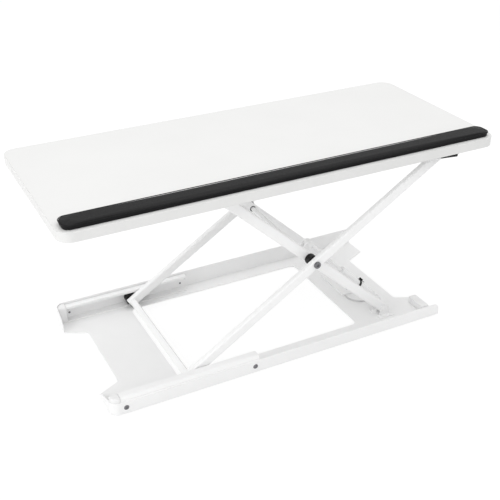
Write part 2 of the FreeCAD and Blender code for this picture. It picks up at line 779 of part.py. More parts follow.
def make_feet():
    places = [(S.base_left + S.foot_inset, base_front + S.foot_inset),
              (S.base_right - S.foot_inset, base_front + S.foot_inset),
              (S.base_left + S.foot_inset, base_back - S.foot_inset),
              (S.base_right - S.foot_inset, base_back - S.foot_inset),
              ((S.base_left + S.base_right) / 2, base_front + S.foot_inset),
              ((S.base_left + S.base_right) / 2, base_back - S.foot_inset)]
    group("rubber_feet", [
        place(turned("foot_%d" % number, "XZ_Plane", "V_Axis",
                     ring_profile(0, S.foot_radius, 0, S.foot_height), node=False), x, y, 0)
        for number, (x, y) in enumerate(places)])


def deck_screw(label, x, y, under, grip):
    """A screw with its head up and its shank down to the underside of the pan."""
    profile = [(0, -grip), (S.screw_radius, -grip), (S.screw_radius, 0),
               (S.screw_head_radius, 0), (S.screw_head_radius, S.screw_head / 2),
               (S.screw_radius, S.screw_head), (0, S.screw_head)]
    return place(turned(label, "XZ_Plane", "V_Axis", profile, node=False), x, y, under)


def bracket_screw_places(side):
    reach = clevis_half() + S.bracket_flange / 2
    inset = S.bracket_length / 2 - S.deck_screw_inset
    return [(pivot_x + inset * along, inner_y(side) + reach * across)
            for along in (-1, 1) for across in (-1, 1)]


def make_pivot_brackets():
    brackets, screws = [], []
    for name, side in SIDES:
        made = body(name + "_pivot_bracket", node=False)
        middle = inner_y(side)
        half = S.bracket_length / 2
        base = S.bracket_ear_base
        ear = [(pivot_x - base, deck_top), (pivot_x + base, deck_top),
               (pivot_x + S.ear_radius, S.low_axis_height + S.ear_top),
               (pivot_x - S.ear_radius, S.low_axis_height + S.ear_top)]
        back = pivot_x + S.bracket_back
        pad(made, "YZ_Plane", back, S.bracket_wall,
            [rectangle(middle - clevis_half(), deck_top, middle + clevis_half(),
                       deck_top + S.bracket_back_height)])
        for start in (middle - clevis_half(), middle + half_tube + S.side_gap):
            pad(made, "XZ_Plane", start, S.bracket_wall, [ear])
        round_corners(made, "XZ_Plane", ear[2:4], S.ear_round)
        cut(made, "XZ_Plane", [], [(pivot_x, S.low_axis_height, S.pin_radius + S.running_gap)])
        for low in (middle - clevis_half() - S.bracket_flange, middle + clevis_half()):
            pad(made, "XY_Plane", deck_top, S.bracket_wall,
                [rectangle(pivot_x - half, low, pivot_x + half, low + S.bracket_flange)])
        cut(made, "XY_Plane", [], [(x, y, S.screw_radius + S.running_gap)
                                   for x, y in bracket_screw_places(side)])
        brackets.append(made)
        screws += [deck_screw("%s_bracket_screw_%d" % (name, number), x, y,
                              deck_top + S.bracket_wall, S.bracket_wall)
                   for number, (x, y) in enumerate(bracket_screw_places(side))]
    group("pivot_brackets", brackets)
    group("pivot_bracket_screws", screws)
    group("pivot_pins", [headed_pin(name + "_pivot_pin", pivot_x, inner_y(side),
                                    S.low_axis_height, clevis_half(), S.pin_radius, False)
                         for name, side in SIDES])


def make_deck_fittings():
    block = body("foot_end_block")
    block_front = base_front + S.block_front_inset
    outline = rectangle(S.block_left, block_front, S.block_left + S.block_length,
                        block_front + S.block_depth)
    pad(block, "XY_Plane", deck_top, S.block_height, [outline])
    round_corners(block, "XY_Plane", outline, S.block_corner)
    plate = body("cable_anchor_plate")
    plate_front = spring_y + S.plate_from_spring
    outline = rectangle(S.plate_left, plate_front, S.plate_left + S.plate_length,
                        plate_front + S.plate_depth)
    pad(plate, "XY_Plane", deck_top, S.plate_thickness, [outline])
    x = S.plate_left + S.plate_length - S.plate_bolt_inset
    y = plate_front + S.plate_bolt_back
    cut(plate, "XY_Plane", [], [(x, y, S.screw_radius + S.running_gap)])
    group("anchor_plate_bolt", [deck_screw("plate_bolt", x, y, deck_top + S.plate_thickness,
                                           S.plate_thickness)])


# ---------------------------------------------------------------- gas spring
lift_x = crossing_x + S.lift_reach * cosine(S.lift_lean)
lift_z = crossing_z + S.lift_reach * sine(S.lift_lean)
spring_slope = arctangent(lift_z - S.spring_foot_height, S.spring_foot_x - lift_x)
spring_length = (lift_z - S.spring_foot_height) / sine(spring_slope)
spring_y = S.frame_middle - inner_arm_offset + S.spring_spacing


def spring_place(made):
    """Put a piece drawn along -X onto the line from the foot pin to the lift pin."""
    return place(made, S.spring_foot_x, spring_y, S.spring_foot_height, spring_slope)


def eye(made, x):
    """A flat eye around the axis at x."""
    pad(made, "XZ_Plane", -(S.eye_width / 2), S.eye_width, [], [(x, 0, S.eye_radius)])


def make_spring():
    end = -(S.cylinder_start + S.cylinder_length)
    start = -S.cylinder_start
    fitting = turned("spring_foot_fitting", "XY_Plane", "H_Axis",
                     [(start, 0), (start, S.fitting_radius),
                      (-(S.fitting_neck + S.fitting_radius / 2), S.fitting_radius),
                      (-S.fitting_neck, S.rod_radius),
                      (-(S.eye_radius / 2), S.rod_radius), (-(S.eye_radius / 2), 0)])
    eye(fitting, 0)
    cut(fitting, "XZ_Plane", [], [(0, 0, S.pin_radius + S.running_gap)])
    spring_place(fitting)
    bottom = start - S.cylinder_floor
    spring_place(turned("spring_cylinder", "XY_Plane", "H_Axis",
                        [(start, 0), (start, S.cylinder_radius), (end, S.cylinder_radius),
                         (end, S.cylinder_bore), (bottom, S.cylinder_bore), (bottom, 0)]))
    inside_gland = end + S.gland_length
    spring_place(turned("spring_gland", "XY_Plane", "H_Axis",
                        ring_profile_along(S.rod_radius + S.rod_play, S.cylinder_bore,
                                           end, inside_gland)))
    root = end + S.piston_inset
    rod_end = -(spring_length - S.eye_radius / 2)
    rod = turned("spring_rod", "XY_Plane", "H_Axis",
                 [(root, 0), (root, S.rod_radius), (rod_end, S.rod_radius), (rod_end, 0)])
    eye(rod, -spring_length)
    cut(rod, "XZ_Plane", [], [(-spring_length, 0, S.lift_pin_radius + S.eye_play)])
    spring_place(rod)
    spring_place(turned("spring_piston", "XY_Plane", "H_Axis",
                        [(root, 0), (root, S.cylinder_bore - S.piston_gap),
                         (root + S.piston_length, S.cylinder_bore - S.piston_gap),
                         (root + S.piston_length, 0)]))
    strap_end = -S.strap_place
    spring_place(turned("cable_strap", "XY_Plane", "H_Axis",
                        ring_profile_along(S.cylinder_radius, S.strap_radius,
                                           strap_end - S.strap_width, strap_end)))


def ring_profile_along(inner, outer, low, high):
    """Outline of a plain ring for turning about the H axis."""
    return [(low, inner), (low, outer), (high, outer), (high, inner)]


def make_spring_mounts():
    inner = S.eye_width / 2 + S.side_gap
    plates = []
    half = S.lift_plate_width / 2
    outline = rectangle(-half, -half, S.lift_reach + half, half)
    for number, low in enumerate((-(inner + S.lift_plate), inner)):
        plate = body("lift_plate_%d" % number, node=False)
        pad(plate, "XZ_Plane", low, S.lift_plate, [outline])
        round_corners(plate, "XZ_Plane", outline, S.lift_plate_round)
        cut(plate, "XZ_Plane", [], [(0, 0, S.shaft_radius + S.running_gap),
                                    (S.lift_reach, 0, S.lift_pin_radius + S.running_gap)])
        plates.append(place(plate, crossing_x, spring_y, crossing_z, -S.lift_lean))
    group("lift_plates", plates)
    headed_pin("lift_pin", lift_x, spring_y, lift_z, inner + S.lift_plate,
               S.lift_pin_radius, True)
    foot = body("spring_foot_bracket")
    x, half = S.spring_foot_x, S.foot_ear_half
    top = S.spring_foot_height + half
    pad(foot, "XY_Plane", deck_top, S.sheet,
        [rectangle(x - half, -(inner + S.bracket_wall), x + half, inner + S.bracket_wall)])
    ear = rectangle(x - half, deck_top, x + half, top)
    for low in (-(inner + S.bracket_wall), inner):
        pad(foot, "XZ_Plane", low, S.bracket_wall, [ear])
    round_corners(foot, "XZ_Plane", ear[2:4], S.foot_ear_round)
    cut(foot, "XZ_Plane", [], [(x, S.spring_foot_height, S.pin_radius + S.running_gap)])
    place(foot, 0, spring_y, 0)
    headed_pin("spring_foot_pin", S.spring_foot_x, spring_y, S.spring_foot_height,
               inner + S.bracket_wall, S.pin_radius, True)


# ---------------------------------------------------------------- release lever
def make_lever():
    left = S.lever_left
    right = S.lever_left + S.lever_length
    front = -(S.board_depth / 2)
    pin_y = front + S.lever_pin_inset
    pin_z = board_under - S.lever_pin_drop
    lever = body("release_lever")
    tip = front + S.lever_front_inset
    paddle = [(left, tip + S.lever_slant), (right, tip), (right, pin_y), (left, pin_y)]
    pad(lever, "XY_Plane", pin_z - S.lever_thickness / 2, S.lever_thickness, [paddle])
    round_corners(lever, "XY_Plane", paddle[0:2], S.lever_corner)
    pad(lever, "YZ_Plane", left, S.lever_length, [], [(pin_y, pin_z, S.lever_hub_radius)])
    cut(lever, "YZ_Plane", [], [(pin_y, pin_z, S.lever_pin_radius + S.running_gap)])
    housing = body("lever_housing")
    outside_left = left - S.side_gap - S.housing_wall
    spring_low = right + S.side_gap
    inside_right = spring_low + S.return_spring_length + S.side_gap
    outside_right = inside_right + S.housing_wall
    half = S.housing_depth / 2
    pad(housing, "XY_Plane", board_under - S.sheet, S.sheet,
        [rectangle(outside_left, pin_y - half, outside_right, pin_y + half)])
    cheek = rectangle(pin_y - half, pin_z - S.lever_hub_radius, pin_y + half, board_under)
    for start in (outside_left, inside_right):
        pad(housing, "YZ_Plane", start, S.housing_wall, [cheek])
    cut(housing, "YZ_Plane", [], [(pin_y, pin_z, S.lever_pin_radius + S.running_gap)])
    place(turned("lever_pin", "XY_Plane", "H_Axis",
                 [(outside_left, 0), (outside_left, S.lever_pin_radius),
                  (outside_right, S.lever_pin_radius), (outside_right, 0)]), 0, pin_y, pin_z)
    wire_inside = S.lever_pin_radius + S.running_gap
    place(turned("lever_return_spring", "XY_Plane", "H_Axis",
                 [(spring_low, wire_inside), (spring_low, S.return_spring_radius),
                  (spring_low + S.return_spring_length, S.return_spring_radius),
                  (spring_low + S.return_spring_length, wire_inside)]), 0, pin_y, pin_z)


# ---------------------------------------------------------------- release cable
def rounded_path(points):
    """Straight runs joined by tangent arcs, each as large as its two runs allow."""
    edges, start = [], points[0]
    for before, corner, after in zip(points, points[1:], points[2:]):
        back, ahead = before - corner, after - corner
        shorter = min(back.Length, ahead.Length)
        half_turn = (math.pi - back.getAngle(ahead)) / 2
        trim = 0.45 * shorter
        radius = trim / math.tan(half_turn)
        print("cable arc radius %.1f mm" % radius)
        back.normalize()
        ahead.normalize()
        enter, leave = corner + back * trim, corner + ahead * trim
        toward = back + ahead
        toward.normalize()
        centre = corner + toward * (radius / math.cos(half_turn))
        middle = centre - toward * radius
        edges.append(Part.LineSegment(start, enter).toShape())
        edges.append(Part.Arc(enter, middle, leave).toShape())
        start = leave
    edges.append(Part.LineSegment(start, points[-1]).toShape())
    return Part.Wire(edges)


def make_release_cable():
    height = (deck_top + S.cable_radius + S.side_gap).value
    radius = S.cable_radius.value
    corners = [V(S.spring_foot_x.value + x, spring_y.value + y, height) for x, y in CABLE_ROUTE]
    path = rounded_path(corners)
    along = path.Edges[0].tangentAt(path.Edges[0].FirstParameter)
    ring = Part.Wire(Part.makeCircle(radius, corners[0], along))
    made = doc.addObject("Part::Feature", "release_cable")
    made.Label = "release_cable"
    made.Shape = path.makePipeShell([ring], True, False)
    NODES["release_cable"] = made
    print("cable length %.1f mm, volume %.3f of its section times length"
          % (path.Length, made.Shape.Volume / (math.pi * radius ** 2 * path.Length)))


make_board()
make_edge_band()
make_wrist_rest()
make_top_rails()
make_top_rail_screws()
make_clevises()
make_clevis_screws()
make_clevis_pins()
make_frames()
make_cross_tubes()
make_crossing()
make_rollers()
make_base_pan()
make_base_rails()
make_rail_fittings()
make_end_caps()
make_feet()
make_pivot_brackets()
make_deck_fittings()
make_spring()
make_spring_mounts()
make_lever()
make_release_cable()
doc.recompute()

# ---------------------------------------------------------------- check and write
for made in doc.Objects:
    if "Invalid" in made.State or "Error" in made.State:
        raise RuntimeError("%s did not rebuild: %s" % (made.Label, made.State))
os.makedirs("parts", exist_ok=True)
for label, made in NODES.items():
    if made.Shape.isNull() or not made.Shape.isValid() or not made.Shape.Solids:
        raise RuntimeError(label + " has no valid solid")
    made.Shape.exportStep("parts/%s.step" % label)
print("nodes:", len(NODES))
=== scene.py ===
"""Looks of a standing desk converter: finishes, softened edges, fasteners and the padded
wrist rest. Lengths are in millimetres where a name or a comment says so, else in metres."""
import bmesh
import bpy
import json
import math
from mathutils import Matrix, Vector


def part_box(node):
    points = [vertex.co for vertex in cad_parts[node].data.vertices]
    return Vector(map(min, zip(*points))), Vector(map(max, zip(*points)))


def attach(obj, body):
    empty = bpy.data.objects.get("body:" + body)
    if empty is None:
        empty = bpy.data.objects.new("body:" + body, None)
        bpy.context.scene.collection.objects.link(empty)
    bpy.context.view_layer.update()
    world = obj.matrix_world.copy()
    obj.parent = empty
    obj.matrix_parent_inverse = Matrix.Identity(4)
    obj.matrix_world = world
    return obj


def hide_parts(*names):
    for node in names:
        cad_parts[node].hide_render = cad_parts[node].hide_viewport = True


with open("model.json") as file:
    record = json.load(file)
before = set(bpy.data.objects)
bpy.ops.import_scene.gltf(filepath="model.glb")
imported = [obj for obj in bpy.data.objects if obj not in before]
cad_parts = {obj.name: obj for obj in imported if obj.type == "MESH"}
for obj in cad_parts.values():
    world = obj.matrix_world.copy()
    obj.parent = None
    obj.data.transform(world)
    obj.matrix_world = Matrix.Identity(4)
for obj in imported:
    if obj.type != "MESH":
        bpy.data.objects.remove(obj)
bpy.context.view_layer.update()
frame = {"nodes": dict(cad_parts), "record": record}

MM = 0.001
NODES = frame["nodes"]
BODY_OF = {node: body for body, nodes in frame["record"]["behaviour"]["bodies"].items()
           for node in nodes}
SLOT_OF = {part["node"]: part["material_slot"] for part in frame["record"]["subparts"]}
scene = bpy.context.scene


# ---------------------------------------------------------------- camera
CAMERA_PLACE = (-0.7615, -1.4565, 1.1202)
CAMERA_PITCH = 29.74        # degrees below level
CAMERA_YAW = 27.35          # degrees to the right of +Y
CAMERA_LENS = 62.27         # mm
CAMERA_SENSOR = 36          # mm

eye = bpy.data.objects.new("camera", bpy.data.cameras.new("camera"))
eye.data.lens = CAMERA_LENS
eye.data.sensor_width = CAMERA_SENSOR
eye.location = CAMERA_PLACE
eye.rotation_euler = (math.radians(90 - CAMERA_PITCH), 0, math.radians(-CAMERA_YAW))
scene.collection.objects.link(eye)
scene.camera = eye
scene.view_settings.view_transform = "Standard"


# ---------------------------------------------------------------- helpers
PATCH_DETAIL = 3.0
GRAIN_DETAIL = 2.0
NOISE_LOW, NOISE_HIGH = 0.3, 0.7    # the range that noise seldom leaves


def linear(colour):
    """A hex sRGB colour as linear RGBA."""
    channels = [int(colour[place:place + 2], 16) / 255 for place in (1, 3, 5)]
    return (*(c / 12.92 if c <= 0.04045 else ((c + 0.055) / 1.055) ** 2.4
              for c in channels), 1)


def add(tree, kind, inputs=None, **settings):
    """A node of a material or geometry tree, with its settings and its input values or links."""
    made = tree.nodes.new(kind)
    for name, value in settings.items():
        setattr(made, name, value)
    for name, value in (inputs or {}).items():
        socket = made.inputs[name]
        for source in value if isinstance(value, list) else [value]:
            if isinstance(source, bpy.types.NodeSocket):
                tree.links.new(source, socket)
            else:
                socket.default_value = source
    return made


def started(name):
    """An empty material's tree, its shader and its Object coordinates."""
    made = bpy.data.materials.new(name)
    made.use_nodes = True
    tree = made.node_tree
    tree.nodes.clear()
    shader = add(tree, "ShaderNodeBsdfPrincipled")
    add(tree, "ShaderNodeOutputMaterial", {"Surface": shader.outputs[0]})
    place = add(tree, "ShaderNodeTexCoord").outputs["Object"]
    return made, tree, shader, place


def per_metre(size_mm):
    """The scale of a pattern whose features are this many millimetres across."""
    return 1 / (size_mm * MM)


def noise(tree, place, size_mm, detail):
    return add(tree, "ShaderNodeTexNoise",
               {"Vector": place, "Scale": per_metre(size_mm), "Detail": detail})


def varied(tree, place, size_mm, low, high):
    """A value that drifts between low and high over patches of this size."""
    return add(tree, "ShaderNodeMapRange",
               {"Value": noise(tree, place, size_mm, PATCH_DETAIL).outputs[0],
                "From Min": NOISE_LOW, "From Max": NOISE_HIGH,
                "To Min": low, "To Max": high}).outputs[0]


def between(tree, share, first, second):
    """A colour between two tones, by this share."""
    mix = add(tree, "ShaderNodeMix", {"Factor": share}, data_type="RGBA")
    mix.inputs["A"].default_value = linear(first)
    mix.inputs["B"].default_value = linear(second)
    return mix.outputs["Result"]


def tinted(tree, place, size_mm, first, second):
    """A colour that drifts between two near tones over patches of this size."""
    return between(tree, varied(tree, place, size_mm, 0, 1), first, second)


def relief(tree, shader, height, depth_mm, strength):
    """Bump of this depth under the shader."""
    bump = add(tree, "ShaderNodeBump",
               {"Height": height, "Distance": depth_mm * MM, "Strength": strength})
    tree.links.new(bump.outputs[0], shader.inputs["Normal"])


def finished(name, tint, roughness, bump, sockets=None):
    """A material with a drifting colour (patch size in mm and two tones), a drifting roughness
    (patch size in mm, low, high), a fine relief (grain size in mm, depth in mm, strength) and
    the shader's other values by socket name."""
    made, tree, shader, place = started(name)
    tree.links.new(tinted(tree, place, *tint), shader.inputs["Base Color"])
    tree.links.new(varied(tree, place, *roughness), shader.inputs["Roughness"])
    grain_mm, depth_mm, strength = bump
    relief(tree, shader, noise(tree, place, grain_mm, GRAIN_DETAIL).outputs[0], depth_mm, strength)
    for socket, value in (sockets or {}).items():
        shader.inputs[socket].default_value = value
    return made


# ---------------------------------------------------------------- materials
def melamine_faced_board():
    """Particle board under white melamine paper, pressed with a satin pearl texture: matt, even,
    with a soft sheen. The pearl is 0.5 mm and is drawn at 1.6 mm so that it shows."""
    return finished("melamine_faced_board", tint=(140, "#dfdfde", "#dddddc"),
                    roughness=(90, 0.40, 0.50), bump=(1.6, 0.03, 0.25), sockets={"IOR": 1.5})


def abs_edge_banding():
    """Extruded ABS edging, softly glossy, with faint ripples along the edge from the glue press."""
    return finished("abs_edge_banding", tint=(60, "#dfdfde", "#dcdcdb"),
                    roughness=(25, 0.34, 0.42), bump=(9, 0.05, 0.15), sockets={"IOR": 1.53})


def powder_coated_steel():
    """Mild steel sheet and tube under baked white polyester powder: satin, with the orange peel
    that the powder leaves as it flows out, about 2 mm across."""
    return finished("powder_coated_steel", tint=(70, "#f2f2f2", "#f0f0f0"),
                    roughness=(30, 0.30, 0.40), bump=(2.2, 0.05, 0.3), sockets={"IOR": 1.5})


def gloss_enamelled_tube():
    """Drawn steel tube under sprayed white enamel: glossier and smoother than the frame."""
    return finished("gloss_enamelled_tube", tint=(40, "#eeeeee", "#ebebeb"),
                    roughness=(20, 0.16, 0.24), bump=(5, 0.03, 0.15), sockets={"IOR": 1.5})


def moulded_white_polypropylene():
    """Injection-moulded polypropylene plugs: slightly cooler and duller than the coated steel."""
    return finished("moulded_white_polypropylene", tint=(12, "#ededed", "#e8e8e8"),
                    roughness=(8, 0.42, 0.52), bump=(1.2, 0.04, 0.3))


def moulded_black_nylon():
    """Glass-filled nylon, moulded in a spark-eroded tool: near black, fine and even, half matt."""
    return finished("moulded_black_nylon", tint=(9, "#0a0a0a", "#101010"),
                    roughness=(6, 0.42, 0.56), bump=(0.9, 0.05, 0.4),
                    sockets={"IOR": 1.53, "Specular IOR Level": 0.3})


def black_natural_rubber():
    """Moulded rubber for feet and stops: matt, dusty black with a slight grey bloom."""
    return finished("black_natural_rubber", tint=(7, "#161616", "#232323"),
                    roughness=(5, 0.72, 0.86), bump=(1.0, 0.08, 0.5))


def zinc_plated_steel():
    """Screws, pins and axles under bright zinc: blue-grey, brushed by tumbling, a little cloudy."""
    return finished("zinc_plated_steel", tint=(4, "#a9adb1", "#c3c5c7"),
                    roughness=(3, 0.26, 0.42), bump=(0.8, 0.02, 0.3), sockets={"Metallic": 1})


def dark_zinc_steel():
    """Steel under dark zinc plating: middle grey, satin, a little uneven."""
    return finished("dark_zinc_steel", tint=(4, "#747477", "#88888b"),
                    roughness=(3, 0.34, 0.46), bump=(0.7, 0.02, 0.3), sockets={"Metallic": 1})


def extruded_pvc_jacket():
    """Grey-white PVC jacket of the release cable, smooth with faint drawing lines."""
    return finished("extruded_pvc_jacket", tint=(6, "#d9d9d9", "#d0d0d0"),
                    roughness=(4, 0.34, 0.46), bump=(1.0, 0.03, 0.3))


PEBBLE_MM = 1.3
PEBBLE_WARP_MM = 2.5
PEBBLE_WARP_SHARE = 0.002
CREASE_WIDTH = 0.12         # of a pebble


def black_leatherette():
    """PVC leatherette over foam: black, with a fine pebble of 1.3 mm cells, creased between them,
    painted darker in the creases as painted shade, and a low wax gloss that is duller in the
    creases."""
    made, tree, shader, place = started("black_leatherette")
    warp = add(tree, "ShaderNodeTexNoise", {"Vector": place, "Scale": per_metre(PEBBLE_WARP_MM)})
    bent = add(tree, "ShaderNodeMix",
               {"A": place, "B": warp.outputs["Color"], "Factor": PEBBLE_WARP_SHARE},
               data_type="VECTOR")
    cells = add(tree, "ShaderNodeTexVoronoi",
                {"Vector": bent.outputs["Result"], "Scale": per_metre(PEBBLE_MM)},
                feature="DISTANCE_TO_EDGE")
    crease_and_painted_shade = add(tree, "ShaderNodeMapRange",
                  {"Value": cells.outputs["Distance"], "From Max": CREASE_WIDTH}).outputs[0]
    rough = add(tree, "ShaderNodeMapRange", {"Value": crease_and_painted_shade, "To Min": 0.62, "To Max": 0.42})
    # painted shade: the colour is darker (#09090a) in the creases between cells and lighter
    # (#131314) on the cells
    tree.links.new(between(tree, crease_and_painted_shade, "#09090a", "#131314"), shader.inputs["Base Color"])
    tree.links.new(rough.outputs[0], shader.inputs["Roughness"])
    shader.inputs["Specular IOR Level"].default_value = 0.18
    relief(tree, shader, crease_and_painted_shade, 0.08, 0.35)
    return made


MATERIALS = {
    "white_laminate": melamine_faced_board(),
    "white_edge_band": abs_edge_banding(),
    "black_wrist_cover": black_leatherette(),
    "white_powder_coat": powder_coated_steel(),
    "white_plastic": moulded_white_polypropylene(),
    "black_nylon": moulded_black_nylon(),
    "black_rubber": black_natural_rubber(),
    "zinc_steel": zinc_plated_steel(),
    "white_cylinder_paint": gloss_enamelled_tube(),
    "dark_steel": dark_zinc_steel(),
    "cable_jacket": extruded_pvc_jacket(),
}


# ---------------------------------------------------------------- pieces
MERGE_DISTANCE = 1e-6
FLAT_ANGLE = math.radians(0.5)      # faces that meet at less than this are one face
EDGE_ANGLE = math.radians(38)       # edges sharper than this are rounded
SHADING_ANGLE = math.radians(40)    # edges sharper than this are drawn as edges
EDGE_SEGMENTS = 2


def linked(name, mesh):
    made = bpy.data.objects.new(name, mesh)
    scene.collection.objects.link(made)
    return made


def set_up(piece, node):
    """Gives a piece the slot's finish and makes it move with the body of its CAD node."""
    slot = SLOT_OF[node]
    piece.data.materials.clear()
    piece.data.materials.append(MATERIALS[slot])
    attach(piece, BODY_OF[node])


def plain_mesh(piece):
    """The piece's mesh with its modifiers worked in, which are then taken off."""
    graph = bpy.context.evaluated_depsgraph_get()
    shape = bpy.data.meshes.new_from_object(piece.evaluated_get(graph))
    piece.modifiers.clear()
    return shape


def merged_copy(node):
    """The node's mesh with its loose triangles joined and its flat faces made whole."""
    mesh = NODES[node].data.copy()
    work = bmesh.new()
    work.from_mesh(mesh)
    bmesh.ops.remove_doubles(work, verts=work.verts, dist=MERGE_DISTANCE)
    bmesh.ops.dissolve_limit(work, angle_limit=FLAT_ANGLE, verts=work.verts, edges=work.edges)
    work.to_mesh(mesh)
    work.free()
    mesh.shade_smooth()
    return mesh


def rounded_edges(piece, radius_mm):
    bevel = piece.modifiers.new("rounded edges", "BEVEL")
    bevel.width = radius_mm * MM
    bevel.segments = EDGE_SEGMENTS
    return bevel


def softened(node, radius_mm):
    """The node's shape with its sharp edges rounded off, as deburred and coated metal has them."""
    piece = linked(node + "_finished", merged_copy(node))
    bevel = rounded_edges(piece, radius_mm)
    bevel.limit_method = "ANGLE"
    bevel.angle_limit = EDGE_ANGLE
    bevel.use_clamp_overlap = True
    piece.modifiers.new("flat faces stay flat", "WEIGHTED_NORMAL")
    set_up(piece, node)
    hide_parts(node)


EDGE_RADII = {              # mm
    "base_pan": 0.7, "front_rail": 0.7, "rear_rail": 0.7, "pivot_brackets": 0.6,
    "cable_anchor_plate": 0.5, "spring_foot_bracket": 0.5, "lift_plates": 0.5,
    "near_top_rail": 0.5, "rear_top_rail": 0.5, "arm_clevises": 0.5,
    "near_outer_arm": 0.4, "rear_outer_arm": 0.4, "near_inner_arm": 0.4, "rear_inner_arm": 0.4,
    "upper_cross_tube": 0.4, "lower_cross_tube": 0.4, "outer_arm_plugs": 0.4,
    "inner_arm_plugs": 0.4, "edge_band": 0.9, "foot_end_block": 1.5,
    "crossing_spacers": 0.8, "release_lever": 1.2,
    "lever_housing": 0.8, "spring_cylinder": 0.8, "crossing_bolts": 0.5,
    "left_end_caps": 0.6, "front_rail_stops": 0.6, "rear_rail_stops": 0.6,
    "spring_foot_fitting": 0.5, "spring_rod": 0.4, "crossing_shaft": 0.4, "cable_strap": 0.5,
}
for node, radius in EDGE_RADII.items():
    softened(node, radius)


# ---------------------------------------------------------------- repeated pieces
ROUND_SIDES = 48
SHANK_SIDES = 20
HOLE_SIDES = 16
FOOT_SIDES = 40
CORD_SIDES = 12
RECESS_SPAN = 1.15          # of the screw head's radius
RING_SHARES = (0.85, 0.45)  # grip rings' radii over the foot's

# roller: the first four over the tread's radius, the hub over the bore's, the last two over
# the tread's width
TREAD_INSIDE, WEB_RADIUS, HOLE_CIRCLE, HOLE_RADIUS = 0.74, 0.76, 0.645, 0.09
HUB_RADIUS = 1.7
WEB_WIDTH, HUB_WIDTH = 0.35, 0.92


def begun_tree(name, sizes):
    """A geometry tree whose inputs are points, the named sizes and a material."""
    tree = bpy.data.node_groups.new(name, "GeometryNodeTree")
    face = tree.interface
    face.new_socket("Points", in_out="INPUT", socket_type="NodeSocketGeometry")
    for label in sizes:
        face.new_socket(label, in_out="INPUT", socket_type="NodeSocketFloat")
    face.new_socket("Material", in_out="INPUT", socket_type="NodeSocketMaterial")
    face.new_socket("Geometry", in_out="OUTPUT", socket_type="NodeSocketGeometry")
    return tree, tree.nodes.new("NodeGroupInput").outputs


def end_tree(tree, given, shape):
    """Puts the shape, drawn along +Z, on every point, turned to the point's facing."""
    facing = add(tree, "GeometryNodeInputNamedAttribute", {"Name": "facing"},
                 data_type="FLOAT_VECTOR")
    turn = add(tree, "FunctionNodeAlignRotationToVector", {"Vector": facing.outputs[0]}, axis="Z")
    copies = add(tree, "GeometryNodeInstanceOnPoints",
                 {"Points": given["Points"], "Instance": shape, "Rotation": turn.outputs[0]})
    real = add(tree, "GeometryNodeRealizeInstances", {"Geometry": copies.outputs[0]})
    painted = add(tree, "GeometryNodeSetMaterial",
                  {"Geometry": real.outputs[0], "Material": given["Material"]})
    add(tree, "NodeGroupOutput", {"Geometry": painted.outputs[0]})
    return tree


def scaled(tree, value, factor):
    return add(tree, "ShaderNodeMath", {0: value, 1: factor}, operation="MULTIPLY").outputs[0]


def vector(tree, x=0.0, y=0.0, z=0.0):
    return add(tree, "ShaderNodeCombineXYZ", {"X": x, "Y": y, "Z": z}).outputs[0]


def moved(tree, geometry, **inputs):
    return add(tree, "GeometryNodeTransform", {"Geometry": geometry, **inputs}).outputs[0]


def lifted(tree, geometry, height):
    return moved(tree, geometry, Translation=vector(tree, z=height))


def block(tree, x, y, z, middle):
    """A box of this size whose middle is at this height."""
    made = add(tree, "GeometryNodeMeshCube", {"Size": vector(tree, x, y, z)}).outputs[0]
    return lifted(tree, made, middle)


def combined(tree, operation, first, others):
    made = add(tree, "GeometryNodeMeshBoolean", operation=operation, solver="EXACT")
    if operation == "DIFFERENCE":
        tree.links.new(first, made.inputs["Mesh 1"])
    else:
        others = [first] + others
    for geometry in others:
        tree.links.new(geometry, made.inputs["Mesh 2"])
    return made.outputs[0]


def rod(tree, radius, length, sides=ROUND_SIDES):
    """A cylinder about Z whose middle is at the point."""
    return add(tree, "GeometryNodeMeshCylinder",
               {"Vertices": sides, "Radius": radius, "Depth": length}).outputs[0]


def screw_tree():
    """A domed screw head with a cross recess, its seat at the point, and the shank behind it."""
    tree, given = begun_tree("cross_recess_screw", [
        "Head Radius", "Head Height", "Shank Radius", "Shank Length", "Recess Width"])
    radius, height, recess = given["Head Radius"], given["Head Height"], given["Recess Width"]
    ball = add(tree, "GeometryNodeMeshUVSphere", {"Segments": 28, "Rings": 14, "Radius": 1.0})
    dome = moved(tree, ball.outputs[0], Scale=vector(tree, radius, radius, height))
    wide = scaled(tree, radius, 3)
    above_seat = block(tree, wide, wide, height, scaled(tree, height, 0.5))
    head = combined(tree, "INTERSECT", dome, [above_seat])
    span = scaled(tree, radius, RECESS_SPAN)
    for x, y in ((span, recess), (recess, span)):
        head = combined(tree, "DIFFERENCE", head, [block(tree, x, y, height, height)])
    length = given["Shank Length"]
    shank = lifted(tree, rod(tree, given["Shank Radius"], length, SHANK_SIDES),
                   scaled(tree, length, -0.5))
    whole = add(tree, "GeometryNodeJoinGeometry", {"Geometry": [head, shank]})
    return end_tree(tree, given, whole.outputs[0])


def swept(tree, path, radius):
    ring = add(tree, "GeometryNodeCurvePrimitiveCircle",
               {"Resolution": CORD_SIDES, "Radius": radius})
    return add(tree, "GeometryNodeCurveToMesh",
               {"Curve": path, "Profile Curve": ring.outputs[0], "Fill Caps": True}).outputs[0]


def coil_tree():
    """A helix of round wire along +Z from the point."""
    tree, given = begun_tree("wire_coil", ["Coil Radius", "Wire Radius", "Turns", "Length"])
    helix = add(tree, "GeometryNodeCurveSpiral", {
        "Resolution": 28, "Rotations": given["Turns"], "Start Radius": given["Coil Radius"],
        "End Radius": given["Coil Radius"], "Height": given["Length"]})
    return end_tree(tree, given, swept(tree, helix.outputs[0], given["Wire Radius"]))


